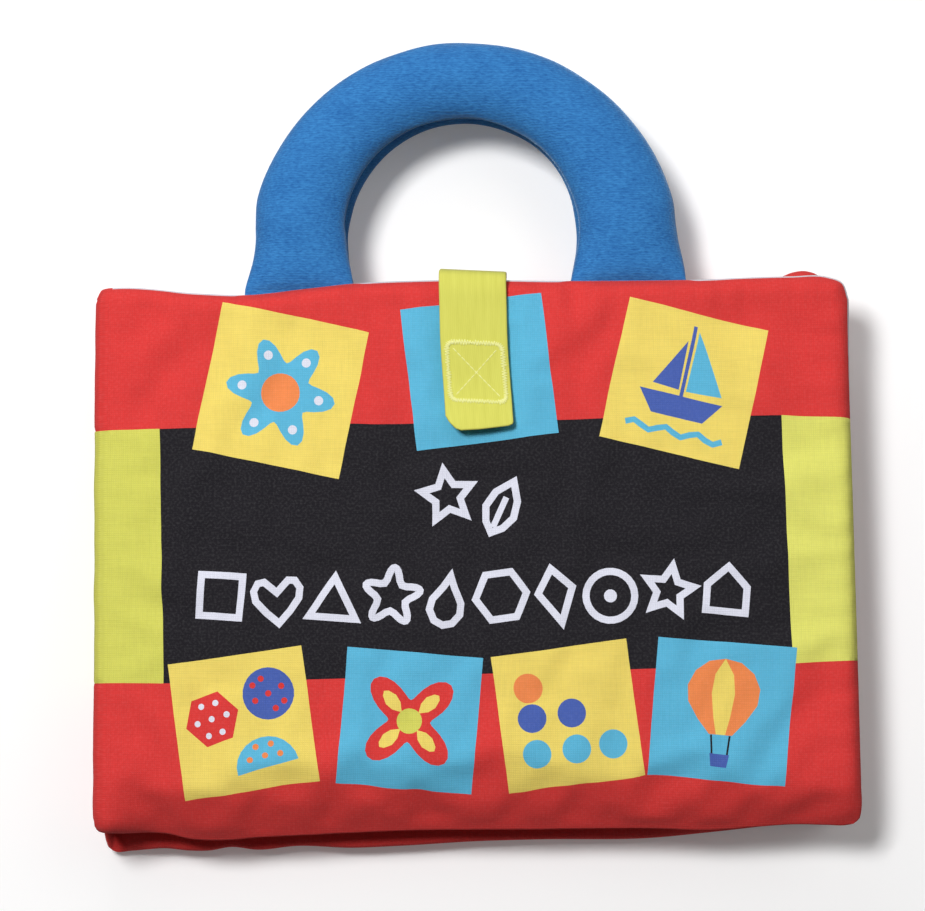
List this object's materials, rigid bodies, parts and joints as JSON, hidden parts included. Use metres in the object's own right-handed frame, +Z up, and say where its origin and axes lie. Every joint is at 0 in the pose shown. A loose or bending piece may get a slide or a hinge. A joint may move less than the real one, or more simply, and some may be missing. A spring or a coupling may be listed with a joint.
{
  "type": "soft activity book",
  "caption": "Padded cloth activity book with folding covers and spine, stuffed carry handles in its top seams and a strap that closes over the front cover.",
  "frame": {"origin": "under the middle of the whole closed book, spine and handles included, on the surface it lies on", "axes": "+X from the spine to the fore edge, +Y from the bottom edge to the handles, +Z up through the closed book from the back cover to the front cover"},
  "size_m": [0.2806, 0.294, 0.0493],
  "materials": {
    "cover_cloth": "printed plain-weave cotton",
    "leaf_cloth": "plain-weave cotton",
    "handle_velour": "ribbed velour",
    "strap_ribbon": "ribbed ribbon",
    "fastener_tape": "hook-and-loop tape"
  },
  "bodies": {
    "back": {"back_cover": "cover_cloth", "pages": "leaf_cloth", "back_handle": "handle_velour", "closure_strap": "strap_ribbon", "hook_patch": "fastener_tape"},
    "spine": {"spine_panel": "cover_cloth"},
    "front": {"front_cover": "cover_cloth", "front_handle": "handle_velour", "loop_patch": "fastener_tape"}
  },
  "joints": [
    {"name": "spine_fold", "type": "hinge", "parent": "back", "child": "spine", "pos_m": [-0.13615, -0.045, 0.0065], "axis": [0, -1, 0], "range_deg": [0, 90], "deforming": ["closure_strap", "hook_patch"]},
    {"name": "front_cover_fold", "type": "hinge", "parent": "spine", "child": "front", "pos_m": [-0.13615, -0.045, 0.0393], "axis": [0, -1, 0], "range_deg": [0, 90], "deforming": ["closure_strap", "hook_patch"]}
  ]
}
